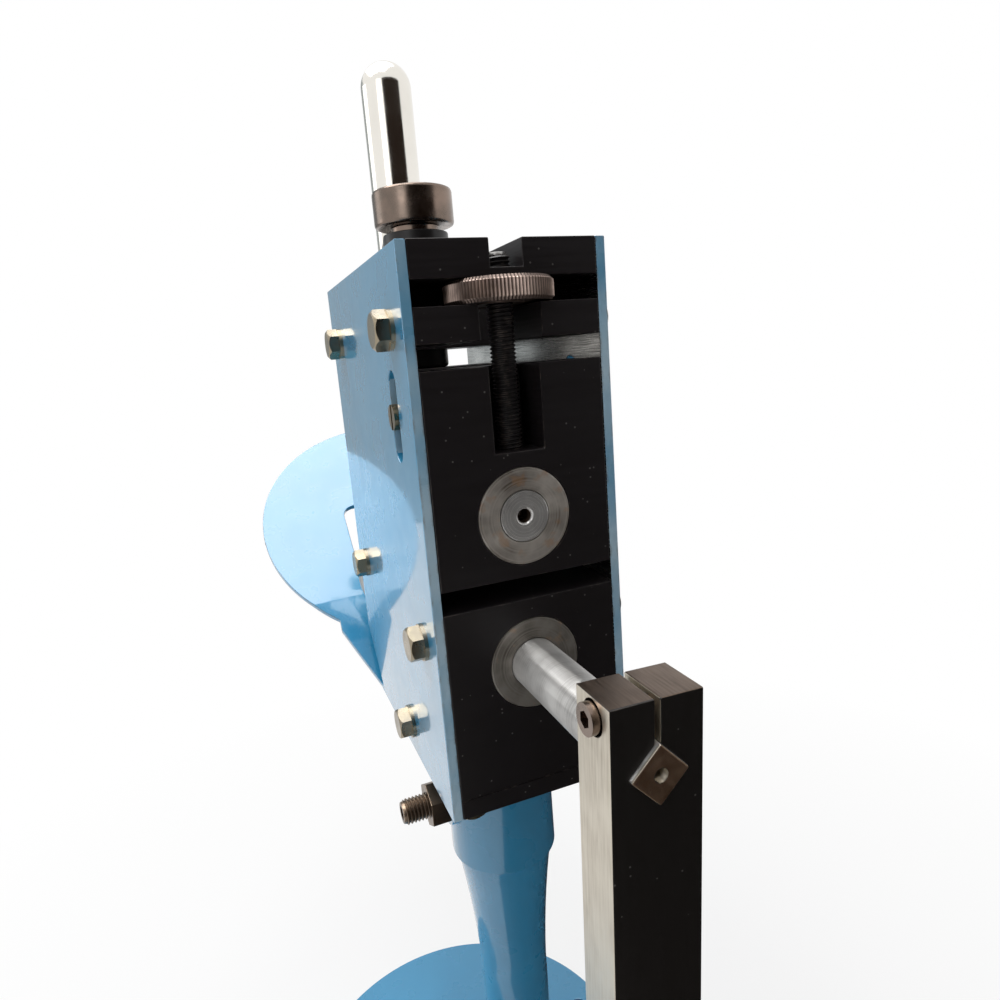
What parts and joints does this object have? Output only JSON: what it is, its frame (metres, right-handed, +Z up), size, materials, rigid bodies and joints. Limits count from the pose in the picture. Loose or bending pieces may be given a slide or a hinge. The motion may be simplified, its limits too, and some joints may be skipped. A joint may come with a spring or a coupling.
{
  "type": "hand flanger",
  "caption": "Hand-cranked flanger: geared shafts with forming rolls in a plate-sided head, a screw pressing the upper roll down, a tilted round table and a flared column on a disc base.",
  "frame": {"origin": "on the column's axis at the underside of the base disc", "axes": "+Z up along the column, +Y along the shafts from the crank towards the rolls, +X to the right seen from the crank"},
  "size_m": [0.213, 0.4712, 0.5876],
  "materials": {
    "blue_paint": "gloss",
    "black_steel": "black oxide",
    "bush_steel": "turned",
    "bright_steel": "ground",
    "zinc_yellow": "zinc plated, yellow tint",
    "knurled_steel": "knurled",
    "chrome": "polished"
  },
  "bodies": {
    "stand": {"base_disc": "blue_paint", "column": "blue_paint", "foot_bolts": "zinc_yellow", "lock_screw": "black_steel", "lock_nut": "black_steel"},
    "head": {"left_side_plate": "blue_paint", "right_side_plate": "blue_paint", "rear_top_block": "black_steel", "front_top_block": "black_steel", "lower_rear_block": "black_steel", "lower_front_block": "black_steel", "bottom_plate": "black_steel", "swivel_block": "black_steel", "left_bolts": "zinc_yellow", "right_bolts": "zinc_yellow", "left_washers": "zinc_yellow", "right_washers": "zinc_yellow", "bottom_bolts": "zinc_yellow", "work_table": "blue_paint", "table_bolts": "zinc_yellow", "lower_rear_bush": "bush_steel", "lower_front_bush": "bush_steel", "lift_springs": "bright_steel"},
    "carriage": {"upper_rear_block": "black_steel", "upper_front_block": "black_steel", "upper_rear_bush": "bush_steel", "upper_front_bush": "bush_steel", "guide_screws": "zinc_yellow", "adjusting_rod": "black_steel"},
    "wheel": {"thumb_wheel": "knurled_steel"},
    "pressure": {"pressure_screw": "black_steel", "pressure_collar": "black_steel", "pressure_arm": "black_steel", "pressure_grip_pin": "bright_steel"},
    "upper_grip": {"pressure_grip": "chrome"},
    "upper_train": {"upper_shaft": "bright_steel", "upper_gear": "bush_steel", "upper_sleeves": "bush_steel", "upper_keys": "bush_steel", "upper_roll": "bright_steel", "upper_roll_washer": "zinc_yellow", "upper_roll_nut": "zinc_yellow"},
    "crank": {"lower_shaft": "bright_steel", "lower_gear": "bush_steel", "lower_sleeves": "bush_steel", "lower_keys": "bush_steel", "lower_roll": "bright_steel", "lower_roll_washer": "zinc_yellow", "lower_roll_nut": "zinc_yellow", "crank_arm": "black_steel", "pinch_screw": "black_steel", "crank_grip_bolt": "bright_steel", "crank_grip_nut": "zinc_yellow"},
    "crank_handle": {"crank_grip": "chrome"}
  },
  "joints": [
    {"name": "head_swivel", "type": "hinge", "parent": "stand", "child": "head", "pos_m": [0, 0, 0.25], "axis": [0, 0, 1], "continuous": true},
    {"name": "crank_turn", "type": "hinge", "parent": "head", "child": "crank", "pos_m": [0, 0, 0.3093], "axis": [0, 1, 0], "continuous": true},
    {"name": "crank_grip_spin", "type": "hinge", "parent": "crank", "child": "crank_handle", "pos_m": [-0.00504, -0.145, 0.13937], "axis": [0, 1, 0], "continuous": true},
    {"name": "carriage_lift", "type": "slide", "parent": "head", "child": "carriage", "axis": [0, 0, 1], "range_m": [0, 0.004], "deforming": ["lift_springs"]},
    {"name": "upper_train_turn", "type": "hinge", "parent": "carriage", "child": "upper_train", "pos_m": [0, 0, 0.3693], "axis": [0, 1, 0], "continuous": true},
    {"name": "pressure_turn", "type": "hinge", "parent": "carriage", "child": "pressure", "pos_m": [0, 0.054, 0.48], "axis": [0, 0, 1], "range_deg": [0, 720]},
    {"name": "upper_grip_spin", "type": "hinge", "parent": "pressure", "child": "upper_grip", "pos_m": [0.00566, 0.10368, 0.53], "axis": [0, 0, 1], "continuous": true},
    {"name": "wheel_turn", "type": "hinge", "parent": "head", "child": "wheel", "pos_m": [0, -0.049, 0.4525], "axis": [0, 0, 1], "range_deg": [-960, 0]}
  ],
  "couplings": [
    {"joint": "upper_train_turn", "follows": "crank_turn", "ratio": -1},
    {"joint": "carriage_lift", "follows": "pressure_turn", "m_per_rad": 0.00031831},
    {"joint": "wheel_turn", "follows": "pressure_turn", "ratio": -1.3333}
  ]
}
